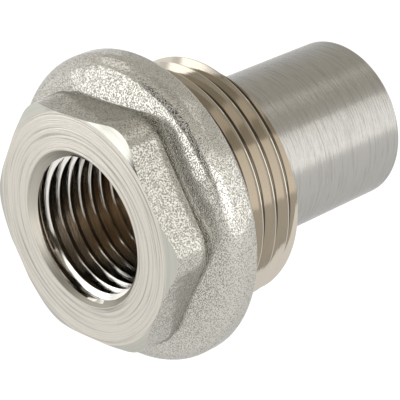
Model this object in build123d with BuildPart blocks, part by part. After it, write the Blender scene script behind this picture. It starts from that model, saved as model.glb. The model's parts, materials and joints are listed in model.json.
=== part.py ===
from build123d import *
import os
from math import radians, tan

# Radiator flow extension: one brass forging, turned, threaded and nickel plated.
# Lengths are in millimetres. The axis is X, and x = 0 is the seat that closes on the radiator.
# The hexagon and the inlet look along -X. The outside thread and the tube reach along +X.
# A profile's second coordinate is its radius from the axis.

# Spanner hexagon, with one flat looking up
hex_across_flats = 30.6  # at the turned front face
hex_length = 5.4
hex_draft = 4.2  # degrees, the flats spread towards the bead
hex_corner_radius = 4.7
hex_rear_chamfer = 0.3
face_ring_radius = 15.55  # outer edge of the turned front face
face_chamfer_angle = 24.7  # degrees from the front face

# Bead between the hexagon and the radiator
bead_rim_width = 3.95
bead_radius = 20.75
bead_front_slope = 15  # degrees from the seat's plane
bead_foot_radius = 14.95  # where the slope meets the hexagon's rear
bead_front_round = 2.3
seat_edge_chamfer = 0.5

# Outside thread, G 1, as rings at the true pitch
outside_thread_radius = 16.62
outside_pitch = 2.309
outside_thread_length = 11.55
outside_first_groove = 1.57  # seat to the middle of the first groove
outside_end_chamfer = 0.4

# Tube inside the radiator
tube_radius = 11.25
tube_length = 25.75
tube_end_chamfer = 0.35

# Inlet bored for G 1/2, at the radius of the thread's crests
inlet_crest_radius = 9.316
inlet_mouth_chamfer = 1.15
inlet_drill_depth = 18.0
flow_bore_radius = 9.0

# Whitworth form of the outside thread, with flat crests and roots
flank_angle = 27.5  # degrees
depth_per_pitch = 0.640327
flat_per_pitch = 1 / 6

# Places along the axis
hex_rear = -bead_rim_width - (bead_radius - bead_foot_radius) * tan(radians(bead_front_slope))
front_face = hex_rear - hex_length
tube_end = outside_thread_length + tube_length


def corner(sketch, x, radius):
    """The sketch's corner nearest to a place on the profile."""
    return sketch.vertices().sort_by_distance((x, radius, 0))[0]


def groove_places():
    """Middles of the grooves that lie within the thread's length."""
    count = int((outside_thread_length - outside_first_groove) / outside_pitch) + 1
    return [(outside_first_groove + k * outside_pitch, 0) for k in range(count)]


def groove_section():
    """Section of one groove about x = 0, from just clear of the crests down to its flat root."""
    clear = 0.1 * outside_pitch
    depth = depth_per_pitch * outside_pitch
    root_half_width = flat_per_pitch * outside_pitch / 2
    mouth_half_width = root_half_width + (depth + clear) * tan(radians(flank_angle))
    return [
        (-root_half_width, outside_thread_radius - depth),
        (root_half_width, outside_thread_radius - depth),
        (mouth_half_width, outside_thread_radius + clear),
        (-mouth_half_width, outside_thread_radius + clear),
    ]


with BuildPart() as extension_body:
    # Drafted hexagon
    with BuildSketch(Plane.YZ.offset(front_face)) as hexagon:
        RegularPolygon(hex_across_flats / 2, 6, major_radius=False)
        fillet(hexagon.vertices(), hex_corner_radius)
    extrude(amount=hex_length, taper=-hex_draft)
    chamfer(extension_body.edges().group_by(Axis.X)[-1], hex_rear_chamfer)

    # Turned front face, with the cone that cuts the hexagon's corners
    past_corners = 0.65 * hex_across_flats
    cone_rear = front_face + (past_corners - face_ring_radius) * tan(radians(face_chamfer_angle))
    with BuildSketch() as turned_front:
        with BuildLine():
            Polyline(
                (front_face, 0),
                (front_face, face_ring_radius),
                (cone_rear, past_corners),
                (hex_rear, past_corners),
                (hex_rear, 0),
                close=True,
            )
        make_face()
    revolve(axis=Axis.X, mode=Mode.INTERSECT)

    # Bead, seat, blank of the outside thread, and tube
    with BuildSketch() as turned_rear:
        with BuildLine():
            Polyline(
                (hex_rear, 0),
                (hex_rear, bead_foot_radius),
                (-bead_rim_width, bead_radius),
                (0, bead_radius),
                (0, outside_thread_radius),
                (outside_thread_length, outside_thread_radius),
                (outside_thread_length, tube_radius),
                (tube_end, tube_radius),
                (tube_end, 0),
                close=True,
            )
        make_face()
        fillet(corner(turned_rear, -bead_rim_width, bead_radius), bead_front_round)
        chamfer(corner(turned_rear, 0, bead_radius), seat_edge_chamfer)
        chamfer(corner(turned_rear, outside_thread_length, outside_thread_radius), outside_end_chamfer)
        chamfer(corner(turned_rear, tube_end, tube_radius), tube_end_chamfer)
    revolve(axis=Axis.X)

    # Grooves of the outside thread
    with BuildSketch() as outside_grooves:
        with Locations(*groove_places()):
            Polygon(*groove_section(), align=None)
    revolve(axis=Axis.X, mode=Mode.SUBTRACT)

    # Way through: mouth chamfer, tapping drill and flow bore
    drill_end = front_face + inlet_drill_depth
    drill_step = inlet_crest_radius - flow_bore_radius
    with BuildSketch() as way_through:
        with BuildLine():
            Polyline(
                (front_face, 0),
                (front_face, inlet_crest_radius + inlet_mouth_chamfer),
                (front_face + inlet_mouth_chamfer, inlet_crest_radius),
                (drill_end, inlet_crest_radius),
                (drill_end + drill_step, flow_bore_radius),
                (tube_end - tube_end_chamfer, flow_bore_radius),
                (tube_end, flow_bore_radius + tube_end_chamfer),
                (tube_end, 0),
                close=True,
            )
        make_face()
    revolve(axis=Axis.X, mode=Mode.SUBTRACT)

extension_body.part.label = "extension_body"
os.makedirs("parts", exist_ok=True)
export_step(extension_body.part, "parts/extension_body.step")
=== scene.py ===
import json
from math import acos, atan, cos, floor, pi, radians, sin, sqrt, tan

import bmesh
import bpy
from mathutils import Matrix, Vector


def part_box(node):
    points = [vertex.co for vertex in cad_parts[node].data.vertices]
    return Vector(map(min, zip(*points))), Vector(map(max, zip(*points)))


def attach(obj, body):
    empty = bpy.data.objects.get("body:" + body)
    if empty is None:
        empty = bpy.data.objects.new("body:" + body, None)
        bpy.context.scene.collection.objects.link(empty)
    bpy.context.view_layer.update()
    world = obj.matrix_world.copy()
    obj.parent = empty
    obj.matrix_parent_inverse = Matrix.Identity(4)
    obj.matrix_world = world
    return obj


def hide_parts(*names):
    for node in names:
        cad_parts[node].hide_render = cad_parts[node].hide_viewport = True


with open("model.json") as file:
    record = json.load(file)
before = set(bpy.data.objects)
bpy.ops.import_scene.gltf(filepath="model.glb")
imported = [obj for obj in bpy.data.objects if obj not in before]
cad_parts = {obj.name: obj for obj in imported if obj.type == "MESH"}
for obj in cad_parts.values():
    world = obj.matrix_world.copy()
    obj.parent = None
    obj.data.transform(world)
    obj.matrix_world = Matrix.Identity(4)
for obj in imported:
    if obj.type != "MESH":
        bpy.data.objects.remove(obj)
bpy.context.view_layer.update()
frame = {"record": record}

# Radiator flow extension in nickel-plated brass. Lengths are in millimetres, along the fitting's
# own axis X from its seat at 0. The skin is a closed chain of rings round that axis.

mm = 0.001
mounts = {m["name"]: m["dims"] for m in frame["record"]["mounts"]}
bodyLow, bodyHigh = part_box("extension_body")

head = {
    "frontFace": bodyLow.x / mm,
    "rear": -5.504,
    "acrossFlats": 30.6,
    "draft": 4.2,  # degrees, the flats spread towards the bead
    "cornerRadius": 4.7,
    "rearRound": 0.5,
    "faceRing": 15.55,  # outer edge of the turned face
    "facetAngle": 24.7,  # degrees from the front face
    "columnsPerHalfFlat": (6, 6, 9),  # flat under the facets, rest of the flat, round corner
    "rings": {"face": 6, "facets": 3, "flats": 5, "rearRound": 5},
}

bead = {
    "rimWidth": 3.95,
    "radius": bodyHigh.z / mm,
    "frontSlope": 15,  # degrees from the seat's plane
    "frontRound": 2.3,
    "grooveDepth": 0.3,  # of the groove that parts it from the flats
    "grooveFloor": 16.7,  # the groove is deeper behind the corners, down to this radius
    "seatRound": 0.8,
    "rings": {"slope": 5, "frontRound": 13, "seatRound": 7},
}

outsideThread = {
    "crestRadius": mounts["radiator_thread"]["r_mm"],
    "pitch": 2.309,
    "hand": -1,  # left-hand
    "rootSide": -1,  # roots lie nearer to the axis
    "crestAt": 5.99,  # a crest's place where the columns start
    "from": 0,
    "cutIn": (0.6, 2.6),  # depth grows from nothing to full between these
    "cutOut": None,
    "to": 11.55,
    "endChamfer": 0.4,
    "arcSteps": 6,  # round a root
}

inletThread = {
    "crestRadius": mounts["inlet_thread"]["r_mm"],
    "pitch": 1.814,
    "hand": 1,  # right-hand
    "rootSide": 1,  # roots lie farther from the axis
    "crestAt": -8.29,
    "from": bodyLow.x / mm,
    "cutIn": (bodyLow.x / mm + 0.2, bodyLow.x / mm + 1.3),
    "cutOut": (4.2, 6.2),  # depth fades from full to nothing between these
    "to": 6.2,
    "mouthChamfer": 1.15,
    "drillEnd": 7.1,
    "arcSteps": 4,
}

tube = {
    "radius": mounts["tube_outside"]["r_mm"],
    "rootRound": 0.5,
    "endChamfer": 0.35,
    "end": bodyHigh.x / mm,
    "bore": mounts["flow_bore"]["r_mm"],
    "rings": {"rootRound": 4, "outside": 8, "bore": 8},
}

whitworth = {  # shares of the pitch
    "flankAngle": 27.5,  # degrees
    "depth": 0.640327,
    "round": 0.225,
    "crestFlat": 0.06,
    "flankShares": (0, 0.12, 0.88),  # of the flank: rings near its ends keep its shading flat
}

flatRear = head["rear"] - head["rearRound"]
mouthRadius = inletThread["crestRadius"] + inletThread["mouthChamfer"]
halfFlat = radians(30)  # half of the angle that one of the hexagon's flats takes
facetTries = 8


def steps(start, end, count):
    return [start + (end - start) * k / count for k in range(count + 1)]


def flatEndAngle(growth):
    apothem = head["acrossFlats"] / 2
    return atan(tan(halfFlat) * (apothem - head["cornerRadius"]) / (apothem + growth))


def hexRadius(turn, x):
    growth = (x - head["frontFace"]) * tan(radians(head["draft"]))
    apothem = head["acrossFlats"] / 2 + growth
    fromFlat = abs(turn % (2 * halfFlat) - halfFlat)
    if fromFlat <= flatEndAngle(growth):
        return apothem / cos(fromFlat)
    centre = (head["acrossFlats"] / 2 - head["cornerRadius"]) / cos(halfFlat)
    fromCorner = halfFlat - fromFlat
    radius = head["cornerRadius"] + growth
    return centre * cos(fromCorner) + sqrt(radius ** 2 - (centre * sin(fromCorner)) ** 2)


def facetEnd(turn):  # where the turned cone runs out on the hexagon's side, closer with each try
    x = head["frontFace"]
    for _ in range(facetTries):
        radius = hexRadius(turn, x)
        x = head["frontFace"] + max(radius - head["faceRing"], 0) * tan(radians(head["facetAngle"]))
    return x, radius


def columnTurns():
    facetTip = acos(head["acrossFlats"] / 2 / head["faceRing"])
    stops = [0, facetTip, flatEndAngle(0), halfFlat]
    half = [0]
    for start, end, count in zip(stops, stops[1:], head["columnsPerHalfFlat"]):
        half += steps(start, end, count)[1:]
    turns = []
    for flat in range(6):
        middle = halfFlat * (1 + 2 * flat)
        turns += [middle - a for a in reversed(half)] + [middle + a for a in half[1:-1]]
    return turns + [2 * pi]


def threadForm(arcSteps):  # one pitch as (share of the pitch, depth below the crest)
    lean = radians(90 - whitworth["flankAngle"])
    root = [
        (0.5 - whitworth["round"] * sin(a), whitworth["depth"] - whitworth["round"] * (1 - cos(a)))
        for a in steps(lean, 0, arcSteps // 2)
    ]
    crestEdge = whitworth["crestFlat"] / 2
    flank = [
        (crestEdge + (root[0][0] - crestEdge) * share, root[0][1] * share)
        for share in whitworth["flankShares"]
    ]
    half = [(0, 0)] + flank + root
    return half + [(1 - s, d) for s, d in reversed(half[1:-1])]


def depthAt(form, share):
    closed = form + [(1 + form[0][0], form[0][1])]
    share %= 1
    for (s0, d0), (s1, d1) in zip(closed, closed[1:]):
        if s0 <= share <= s1:
            return d0 + (d1 - d0) * (share - s0) / (s1 - s0)


def smooth(value, ends):
    share = min(max((value - ends[0]) / (ends[1] - ends[0]), 0), 1)
    return share * share * (3 - 2 * share)


def threadRings(thread, turns, limit):  # rings that follow the helix, held between the thread's ends
    form = threadForm(thread["arcSteps"])
    pitch = thread["pitch"]
    first = floor((thread["from"] - thread["crestAt"]) / pitch) - 1
    last = floor((thread["to"] - thread["crestAt"]) / pitch) + 2
    rings = []
    for k in range(first, last + 1):
        for share, _ in form:
            ring = []
            for turn in turns:
                crest = thread["crestAt"] + thread["hand"] * pitch * turn / (2 * pi)
                x = min(max(crest + (k + share) * pitch, thread["from"]), thread["to"])
                depth = pitch * depthAt(form, (x - crest) / pitch) * smooth(x, thread["cutIn"])
                if thread["cutOut"]:
                    depth *= 1 - smooth(x, thread["cutOut"])
                ring.append((x, limit(x, thread["crestRadius"] + thread["rootSide"] * depth)))
            rings.append(ring)
    return rings


def outsideLimit(x, radius):  # the turned chamfer at the thread's end
    chamferStart = outsideThread["to"] - outsideThread["endChamfer"]
    return min(radius, outsideThread["crestRadius"] - max(x - chamferStart, 0))


def inletLimit(x, radius):  # the mouth's chamfer
    return min(max(radius, mouthRadius - (x - head["frontFace"])), mouthRadius)


def allRound(finish, points, turns):  # rings of one radius all the way round
    return [(finish, [point] * len(turns)) for point in points]


def arc(centreX, centreRadius, radius, startAngle, endAngle, count):
    return [
        (centreX + radius * cos(angle), centreRadius + radius * sin(angle))
        for angle in steps(radians(startAngle), radians(endAngle), count)
    ]


def line(start, end, count):
    return list(zip(steps(start[0], end[0], count), steps(start[1], end[1], count)))


def faceRings(turns):  # turned face out to the hexagon's sides, and the cone on its corners
    front = head["frontFace"]
    edges = [min(head["faceRing"], hexRadius(turn, front)) for turn in turns]
    rings = []
    for share in steps(0, 1, head["rings"]["face"])[:-1]:
        rings.append(("turnedFace", [
            (front, mouthRadius + (edge - mouthRadius) * share) for edge in edges
        ]))
    ends = [facetEnd(turn) for turn in turns]
    for share in steps(0, 1, head["rings"]["facets"])[:-1]:
        rings.append(("turnedCone", [
            (front + (x - front) * share, edge + (radius - edge) * share)
            for edge, (x, radius) in zip(edges, ends)
        ]))
    return rings


def flatRings(turns):  # the hexagon's flats and their rounded rear edge
    starts = [facetEnd(turn)[0] for turn in turns]
    rings = []
    for share in steps(0, 1, head["rings"]["flats"]):
        places = [start + (flatRear - start) * share for start in starts]
        rings.append(("forged", [(x, hexRadius(turn, x)) for turn, x in zip(turns, places)]))
    for angle in steps(0, pi / 2, head["rings"]["rearRound"])[1:]:
        x = flatRear + head["rearRound"] * sin(angle)
        drop = head["rearRound"] * (1 - cos(angle))
        rings.append(("forged", [(x, hexRadius(turn, flatRear) - drop) for turn in turns]))
    return rings


def beadRings(turns):  # groove behind the hexagon, slope, front round and seat
    counts = bead["rings"]
    rearEdges = [hexRadius(turn, flatRear) - head["rearRound"] for turn in turns]
    floors = [min(edge - bead["grooveDepth"], bead["grooveFloor"]) for edge in rearEdges]
    slope, frontRound, seatRound = radians(bead["frontSlope"]), bead["frontRound"], bead["seatRound"]
    feet = [-bead["rimWidth"] - (bead["radius"] - depth) * tan(slope) for depth in floors]
    centreX = -bead["rimWidth"] - frontRound * tan(slope) + frontRound / cos(slope)
    centreRadius = bead["radius"] - frontRound
    startX, startRadius = centreX - frontRound * cos(slope), centreRadius + frontRound * sin(slope)
    rings = [("forged", [(head["rear"], depth) for depth in floors])]
    for share in steps(0, 1, counts["slope"])[:-1]:
        rings.append(("forged", [
            (foot + (startX - foot) * share, depth + (startRadius - depth) * share)
            for foot, depth in zip(feet, floors)
        ]))
    crest = arc(centreX, centreRadius, frontRound, 180 - bead["frontSlope"], 90, counts["frontRound"])
    rim = arc(-seatRound, bead["radius"] - seatRound, seatRound, 90, 0, counts["seatRound"])
    return rings + allRound("forged", crest + rim[:-1], turns) + allRound("seat", rim[-1:], turns)


def outsideThreadRings(turns):  # its last ring starts the flat end, down to the tube
    rings = threadRings(outsideThread, turns, outsideLimit)
    return [("outsideThread", ring) for ring in rings[:-1]] + [("seat", rings[-1])]


def tubeRings(turns):  # round at its root, tube, open end and bore
    rootRound, chamfer, counts = tube["rootRound"], tube["endChamfer"], tube["rings"]
    start = outsideThread["to"] + rootRound
    boreStart = tube["end"] - chamfer
    drillStep = inletThread["crestRadius"] - tube["bore"]
    root = arc(start, tube["radius"] + rootRound, rootRound, 180, 270, counts["rootRound"])
    outside = line((start, tube["radius"]), (boreStart, tube["radius"]), counts["outside"])[1:]
    end = [(tube["end"], tube["radius"] - chamfer), (tube["end"], tube["bore"] + chamfer)]
    boreEnd = inletThread["drillEnd"] + drillStep
    bore = line((boreStart, tube["bore"]), (boreEnd, tube["bore"]), counts["bore"])
    bore.append((inletThread["drillEnd"], inletThread["crestRadius"]))
    rings = allRound("tube", root + outside, turns) + allRound("tubeEnd", end, turns)
    return rings + allRound("bore", bore, turns)


def inletThreadRings(turns):  # back out to the mouth
    return [("inletThread", ring) for ring in reversed(threadRings(inletThread, turns, inletLimit))]


def skinRings(turns):  # (finish of the band that follows the ring, points of the ring)
    parts = (faceRings, flatRings, beadRings, outsideThreadRings, tubeRings, inletThreadRings)
    return [ring for part in parts for ring in part(turns)]


meshing = {
    "weld": 0.0005,
    "shortestEdge": 0.0002,
    "onChamfer": 0.02,  # how near the mouth's cone a face counts as part of it
    "sharpAngle": 23,  # degrees between faces that keep a sharp edge
}


def onMouthChamfer(face):
    centre = face.calc_center_median() / mm
    radius = sqrt(centre.y ** 2 + centre.z ** 2)
    depth = centre.x - head["frontFace"]
    offCone = abs(radius + depth - mouthRadius)
    return depth < inletThread["mouthChamfer"] and offCone < meshing["onChamfer"]


def fittingMesh(finishes):
    turns = columnTurns()
    rings = skinRings(turns)
    build = bmesh.new()
    grid = []
    for _, points in rings:
        grid.append([
            build.verts.new((x * mm, radius * cos(turn) * mm, radius * sin(turn) * mm))
            for turn, (x, radius) in zip(turns, points)
        ])
    for ring, (finish, _) in enumerate(rings):
        following = (ring + 1) % len(rings)
        for column in range(len(turns) - 1):
            corners = (
                grid[ring][column], grid[ring][column + 1],
                grid[following][column + 1], grid[following][column],
            )
            face = build.faces.new(corners)
            face.smooth = True
            face.material_index = finishes.index(finish)
            if finish == "inletThread" and onMouthChamfer(face):
                face.material_index = finishes.index("mouthChamfer")
    bmesh.ops.remove_doubles(build, verts=build.verts, dist=meshing["weld"] * mm)
    bmesh.ops.dissolve_degenerate(build, edges=build.edges, dist=meshing["shortestEdge"] * mm)
    bmesh.ops.recalc_face_normals(build, faces=build.faces)
    mesh = bpy.data.meshes.new("flowExtension")
    build.to_mesh(mesh)
    build.free()
    mesh.set_sharp_from_angle(angle=radians(meshing["sharpAngle"]))
    return mesh


def addNode(tree, kind, inputs=None, **settings):
    node = tree.nodes.new(kind)
    for name, value in settings.items():
        setattr(node, name, value)
    for socket, value in (inputs or {}).items():
        if isinstance(value, bpy.types.NodeSocket):
            tree.links.new(value, node.inputs[socket])
        else:
            node.inputs[socket].default_value = value
    return node


def maths(tree, operation, *values):
    return addNode(tree, "ShaderNodeMath", dict(enumerate(values)), operation=operation).outputs[0]


def newGroup(name, inputs, outputs):
    group = bpy.data.node_groups.new(name, "ShaderNodeTree")
    for socket, value in inputs.items():
        made = group.interface.new_socket(name=socket, in_out="INPUT", socket_type="NodeSocketFloat")
        made.default_value = value
    for socket in outputs:
        group.interface.new_socket(name=socket, in_out="OUTPUT", socket_type="NodeSocketFloat")
    return group, group.nodes.new("NodeGroupInput").outputs, group.nodes.new("NodeGroupOutput")


def placesInMm(tree):
    coordinates = addNode(tree, "ShaderNodeTexCoord")
    scaled = addNode(tree, "ShaderNodeVectorMath", {0: coordinates.outputs["Object"], "Scale": 1 / mm},
                     operation="SCALE")
    return scaled.outputs[0]


def radiusInMm(tree, place):
    squares = [maths(tree, "MULTIPLY", place[k], place[k]) for k in (1, 2)]
    return maths(tree, "SQRT", maths(tree, "ADD", *squares))


# Lines left by a tool that turned round the axis: fine across, long round the axis
def makeToolLines():
    group, given, out = newGroup("toolLines", {"Lines Per Mm": 5, "Turns": 1}, ["Height"])
    place = addNode(group, "ShaderNodeSeparateXYZ", {0: placesInMm(group)}).outputs
    radius = radiusInMm(group, place)
    across = maths(group, "SUBTRACT", radius, place[0])
    aroundY = maths(group, "DIVIDE", place[1], radius)
    aroundZ = maths(group, "DIVIDE", place[2], radius)
    stretched = addNode(group, "ShaderNodeCombineXYZ", {
        0: maths(group, "MULTIPLY", across, given["Lines Per Mm"]),
        1: maths(group, "MULTIPLY", aroundY, given["Turns"]),
        2: maths(group, "MULTIPLY", aroundZ, given["Turns"]),
    })
    noise = addNode(group, "ShaderNodeTexNoise", {
        "Vector": stretched.outputs[0], "W": 0, "Scale": 1, "Detail": 3, "Roughness": 0.6,
    }, noise_dimensions="4D")
    group.links.new(noise.outputs["Fac"], out.inputs["Height"])
    return group


# Skin of a shot-blasted forging: small dents, over a slow unevenness
def makeBlastedSkin():
    group, given, out = newGroup("blastedSkin", {
        "Dents Per Mm": 4, "Dent Floor": 0.4, "Dent Rim": 0.55, "Swells Per Mm": 0.4,
    }, ["Dents", "Swells"])
    place = placesInMm(group)
    fine = addNode(group, "ShaderNodeTexNoise", {
        "Vector": place, "Scale": given["Dents Per Mm"], "Detail": 2, "Roughness": 0.55, "Distortion": 0.3,
    })
    slow = addNode(group, "ShaderNodeTexNoise", {
        "Vector": place, "Scale": given["Swells Per Mm"], "Detail": 1, "Roughness": 0.4,
    })
    dents = addNode(group, "ShaderNodeMapRange", {
        "Value": fine.outputs["Fac"], "From Min": given["Dent Floor"], "From Max": given["Dent Rim"],
    }, interpolation_type="SMOOTHSTEP")
    group.links.new(dents.outputs[0], out.inputs["Dents"])
    group.links.new(slow.outputs["Fac"], out.inputs["Swells"])
    return group


# Depth of a place below the crests of a thread
def makeDepthBelow():
    group, given, out = newGroup("depthBelow", {"Crest Radius": 10}, ["Depth"])
    radius = radiusInMm(group, addNode(group, "ShaderNodeSeparateXYZ", {0: placesInMm(group)}).outputs)
    depth = maths(group, "ABSOLUTE", maths(group, "SUBTRACT", radius, given["Crest Radius"]))
    group.links.new(depth, out.inputs["Depth"])
    return group


toolLines = makeToolLines()
depthBelow = makeDepthBelow()
blastedSkin = makeBlastedSkin()


edgeTint = (0.7, 0.7, 0.7)  # takes some light off the metal where it is seen at a low angle


def nickel(name, colour, roughness):
    material = bpy.data.materials.new(name)
    material.use_nodes = True
    shader = material.node_tree.nodes["Principled BSDF"]
    shader.inputs["Base Color"].default_value = (*colour, 1)
    shader.inputs["Metallic"].default_value = 1
    shader.inputs["Roughness"].default_value = roughness
    shader.inputs["Specular Tint"].default_value = (*edgeTint, 1)
    return material, material.node_tree, shader


def useGroup(tree, group, values):
    return addNode(tree, "ShaderNodeGroup", values, node_tree=group).outputs


def bump(tree, height, depth, normal=None):
    inputs = {"Height": height, "Strength": 1, "Distance": depth * mm}
    if normal:
        inputs["Normal"] = normal
    return addNode(tree, "ShaderNodeBump", inputs).outputs[0]


machined = {  # lines stand for the tool's marks: depth in mm, shade as the share of light they take
    "turnedFace": {
        "colour": (0.585, 0.555, 0.5), "roughness": 0.25,
        "linesPerMm": 4.2, "turns": 0.8, "lineDepth": 0.05, "shade": 0.5,
    },
    "turnedCone": {
        "colour": (0.47, 0.465, 0.42), "roughness": 0.12,
        "linesPerMm": 4.0, "turns": 1.0, "lineDepth": 0.005, "shade": 0.1,
    },
    "seat": {
        "colour": (0.58, 0.545, 0.49), "roughness": 0.25,
        "linesPerMm": 6.0, "turns": 0.5, "lineDepth": 0.03, "shade": 0.3,
    },
    "tube": {
        "colour": (0.4, 0.39, 0.365), "roughness": 0.18,
        "linesPerMm": 3.5, "turns": 2.5, "lineDepth": 0.08, "shade": 0.2,
    },
    "tubeEnd": {
        "colour": (0.5, 0.48, 0.44), "roughness": 0.2,
        "linesPerMm": 4.0, "turns": 1.0, "lineDepth": 0.01, "shade": 0.1,
    },
    "bore": {
        "colour": (0.42, 0.335, 0.24), "roughness": 0.25,
        "linesPerMm": 3.0, "turns": 2.0, "lineDepth": 0.02, "shade": 0.2,
    },
    "mouthChamfer": {
        "colour": (0.42, 0.395, 0.345), "roughness": 0.45,
        "linesPerMm": 5.0, "turns": 1.0, "lineDepth": 0.03, "shade": 0.3,
    },
}

# each thread's colour darkens in its roots: painted shade where the flanks meet
threaded = {
    "outsideThread": {
        "colour": (0.535, 0.49, 0.425), "rootColour": (0.07, 0.06, 0.045), "roughness": 0.1,
        "linesPerMm": 6, "turns": 1, "lineDepth": 0.004, "thread": outsideThread,
    },
    "inletThread": {
        "colour": (0.76, 0.735, 0.69), "rootColour": (0.26, 0.225, 0.18), "roughness": 0.08,
        "linesPerMm": 6, "turns": 1, "lineDepth": 0.016, "thread": inletThread,
    },
}

rootShadeShares = (0.8, 0.86)  # of the thread's depth, where the painted shade of the roots sets in and is full
shadeRange = (0.3, 0.5)  # of the lines' height, from shaded to the full colour

forging = {
    "colour": (0.54, 0.525, 0.48),
    # painted shade in the dents' floors, darker than the plateaus
    "pitColour": (0.34, 0.33, 0.3),
    "roughness": 0.14,
    "dentsPerMm": 6.0,
    "dentFloor": 0.36,  # shares of the noise: flat below the first, flat above the second
    "dentRim": 0.52,
    "dentDepth": 0.05,
    "swellsPerMm": 0.35,
    "swellDepth": 0.1,
}


def blend(tree, first, second, share):
    node = addNode(tree, "ShaderNodeMix", data_type="RGBA")  # 6 and 7 are its two colours
    for socket, value in ((node.inputs[6], first), (node.inputs[7], second)):
        socket.default_value = (*value, 1)
    tree.links.new(share, node.inputs[0])
    return node.outputs[2]


def spread(tree, value, low, high):
    inputs = {"Value": value, "From Min": low, "From Max": high}
    return addNode(tree, "ShaderNodeMapRange", inputs).outputs[0]


def linesHeight(tree, look):
    values = {"Lines Per Mm": look["linesPerMm"], "Turns": look["turns"]}
    return useGroup(tree, toolLines, values)["Height"]


def machinedNickel(name):
    look = machined[name]
    material, tree, shader = nickel(name, look["colour"], look["roughness"])
    lines = linesHeight(tree, look)
    shaded = tuple(c * (1 - look["shade"]) for c in look["colour"])
    tint = blend(tree, shaded, look["colour"], spread(tree, lines, *shadeRange))
    tree.links.new(tint, shader.inputs["Base Color"])
    tree.links.new(bump(tree, lines, look["lineDepth"]), shader.inputs["Normal"])
    return material


def threadedNickel(name):
    look = threaded[name]
    material, tree, shader = nickel(name, look["colour"], look["roughness"])
    depth = useGroup(tree, depthBelow, {"Crest Radius": look["thread"]["crestRadius"]})["Depth"]
    low, high = (share * whitworth["depth"] * look["thread"]["pitch"] for share in rootShadeShares)
    # painted shade: the colour darkens with depth below the crests
    tint = blend(tree, look["colour"], look["rootColour"], spread(tree, depth, low, high))
    tree.links.new(tint, shader.inputs["Base Color"])
    tree.links.new(bump(tree, linesHeight(tree, look), look["lineDepth"]), shader.inputs["Normal"])
    return material


def forgedNickel():
    material, tree, shader = nickel("forged", forging["colour"], forging["roughness"])
    skin = useGroup(tree, blastedSkin, {
        "Dents Per Mm": forging["dentsPerMm"], "Dent Floor": forging["dentFloor"],
        "Dent Rim": forging["dentRim"], "Swells Per Mm": forging["swellsPerMm"],
    })
    # painted shade: the colour darkens in the dents
    tint = blend(tree, forging["pitColour"], forging["colour"], skin["Dents"])
    tree.links.new(tint, shader.inputs["Base Color"])
    uneven = bump(tree, skin["Swells"], forging["swellDepth"])
    dented = bump(tree, skin["Dents"], forging["dentDepth"], uneven)
    tree.links.new(dented, shader.inputs["Normal"])
    return material


finishes = {name: machinedNickel(name) for name in machined}
finishes.update({name: threadedNickel(name) for name in threaded})
finishes["forged"] = forgedNickel()
print("finishes made:", ", ".join(finishes))

fitting = bpy.data.objects.new("flowExtension", fittingMesh(list(finishes)))
for material in finishes.values():
    fitting.data.materials.append(material)
bpy.context.scene.collection.objects.link(fitting)
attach(fitting, "root")
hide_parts("extension_body")
print("fitting built:", len(fitting.data.polygons), "faces")

camera = {
    "azimuth": -42.624,  # degrees round Z, 0 looks along +Y
    "elevation": 23.175,
    "roll": -4.006,
    "distance": 262.046,
    "target": (9.705, 0, -3.04),
    "focalLength": 177.755,
    "nearest": 10,
}


def placeCamera():
    azimuth, elevation, roll = (radians(camera[k]) for k in ("azimuth", "elevation", "roll"))
    back = Vector((sin(azimuth) * cos(elevation), -cos(azimuth) * cos(elevation), sin(elevation)))
    right = Vector((cos(azimuth), sin(azimuth), 0))
    up = back.cross(right)
    right, up = right * cos(roll) + up * sin(roll), up * cos(roll) - right * sin(roll)
    data = bpy.data.cameras.new("camera")
    data.lens = camera["focalLength"]
    data.clip_start = camera["nearest"] * mm
    taker = bpy.data.objects.new("camera", data)
    place = Vector(camera["target"]) * mm + back * camera["distance"] * mm
    taker.matrix_world = Matrix.Translation(place) @ Matrix((right, up, back)).transposed().to_4x4()
    bpy.context.scene.collection.objects.link(taker)
    bpy.context.scene.camera = taker


placeCamera()
print("camera placed")

# Studio: directions are degrees from +X towards +Y, and degrees up
table = {
    "drop": 150,
    "size": 8000,
    "colour": (0.2, 0.2, 0.2),
    "lift": 0.9,  # keeps the table white in the picture and in the metal
    "roughness": 0.8,
    "shine": 0.2,
}

reach = 500  # distance of the boxes and the cards

softboxes = {  # the directions that each fills, and how bright it is
    "leftBox": {"turn": (48, 118), "rise": (-14, 28), "bright": 0.32},
    "frontBox": {"turn": (123, 167), "rise": (-12, 18), "bright": 1.5},
    "frontTop": {"turn": (123, 147), "rise": (18, 24), "bright": 1.3},
    "rightBox": {"turn": (201, 324), "rise": (-26, 42), "bright": 0.92},
    "rightCore": {"turn": (214, 253), "rise": (-4, 24), "bright": 2.0},
    "upperRight": {"turn": (285, 350), "rise": (50, 68), "bright": 0.45},
    "upperLeft": {"turn": (80, 130), "rise": (34, 56), "bright": 0.8},
}

cardFinish = {"colour": (0.03, 0.025, 0.02), "roughness": 0.9}
darkCards = {
    "lowCard": {"turn": (169, 199), "rise": (-2, 18)},
    "highCard": {"turn": (150, 200), "rise": (18, 50)},
}

sky = [  # height of the direction, 0 at the horizon and 1 overhead, and its colour
    (0.12, (1.0, 1.0, 1.0)),
    (0.34, (0.9, 0.89, 0.86)),
    (0.5, (0.76, 0.735, 0.68)),
    (0.68, (0.62, 0.59, 0.52)),
    (0.88, (0.7, 0.665, 0.59)),
    (1.0, (0.4, 0.38, 0.34)),
]


def spanned(span):  # upright rectangle at the reach that fills the span of directions
    turn = radians(sum(span["turn"]) / 2)
    outward = Vector((cos(turn), sin(turn), 0))
    width = 2 * reach * tan(radians(span["turn"][1] - span["turn"][0]) / 2)
    low, high = (reach * tan(radians(rise)) for rise in span["rise"])
    place = outward * reach + Vector((0, 0, (low + high) / 2))
    facing = (-outward).to_track_quat("-Z", "Y")
    return place * mm, facing, width * mm, (high - low) * mm


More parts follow.
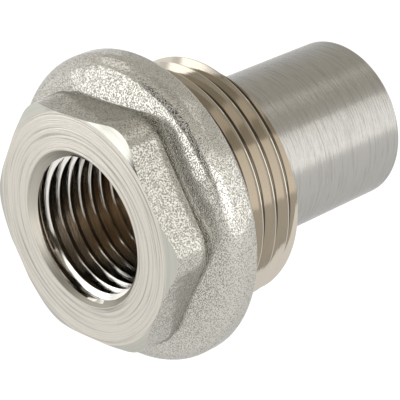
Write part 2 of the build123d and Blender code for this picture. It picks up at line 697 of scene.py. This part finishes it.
def placeSoftboxes():
    for name, box in softboxes.items():
        place, facing, width, height = spanned(box)
        lamp = bpy.data.lights.new(name, "AREA")
        lamp.shape = "RECTANGLE"
        lamp.size, lamp.size_y = width, height
        lamp.energy = box["bright"] * pi * width * height
        placed = bpy.data.objects.new(name, lamp)
        placed.location = place
        placed.rotation_euler = facing.to_euler()
        placed.visible_camera = False
        bpy.context.scene.collection.objects.link(placed)


def placeCards():
    material = bpy.data.materials.new("darkCard")
    material.use_nodes = True
    shader = material.node_tree.nodes["Principled BSDF"]
    shader.inputs["Base Color"].default_value = (*cardFinish["colour"], 1)
    shader.inputs["Roughness"].default_value = cardFinish["roughness"]
    for name, span in darkCards.items():
        place, facing, width, height = spanned(span)
        bpy.ops.mesh.primitive_plane_add(size=1, location=place, rotation=facing.to_euler())
        card = bpy.context.object
        card.name = name
        card.scale = (width, height, 1)
        card.visible_camera = False
        card.data.materials.append(material)


def placeTable():
    bpy.ops.mesh.primitive_plane_add(size=table["size"] * mm, location=(0, 0, -table["drop"] * mm))
    top = bpy.context.object
    top.name = "table"
    material = bpy.data.materials.new("table")
    material.use_nodes = True
    tree = material.node_tree
    shader = tree.nodes["Principled BSDF"]
    shader.inputs["Base Color"].default_value = (*table["colour"], 1)
    shader.inputs["Roughness"].default_value = table["roughness"]
    shader.inputs["Specular IOR Level"].default_value = table["shine"]
    shader.inputs["Emission Color"].default_value = (1, 1, 1, 1)
    path = addNode(tree, "ShaderNodeLightPath").outputs
    seen = maths(tree, "MAXIMUM", path["Is Camera Ray"], path["Is Glossy Ray"])
    seen = maths(tree, "MAXIMUM", seen, path["Is Transmission Ray"])
    lift = maths(tree, "MULTIPLY", seen, table["lift"])
    tree.links.new(lift, shader.inputs["Emission Strength"])
    top.data.materials.append(material)


def lightSky():
    world = bpy.data.worlds.new("studio")
    bpy.context.scene.world = world
    world.use_nodes = True
    tree = world.node_tree
    towards = addNode(tree, "ShaderNodeTexCoord").outputs["Generated"]
    rise = addNode(tree, "ShaderNodeSeparateXYZ", {0: towards}).outputs["Z"]
    ramp = addNode(tree, "ShaderNodeValToRGB", {0: rise})
    marks = ramp.color_ramp.elements
    while len(marks) < len(sky):
        marks.new(0.5)
    for mark, (height, colour) in zip(marks, sky):
        mark.position = height
        mark.color = (*colour, 1)
    tree.links.new(ramp.outputs["Color"], tree.nodes["Background"].inputs["Color"])


placeTable()
placeSoftboxes()
placeCards()
lightSky()
bpy.context.scene.view_settings.view_transform = "Standard"
print("studio placed:", len(softboxes), "boxes and", len(darkCards), "cards")
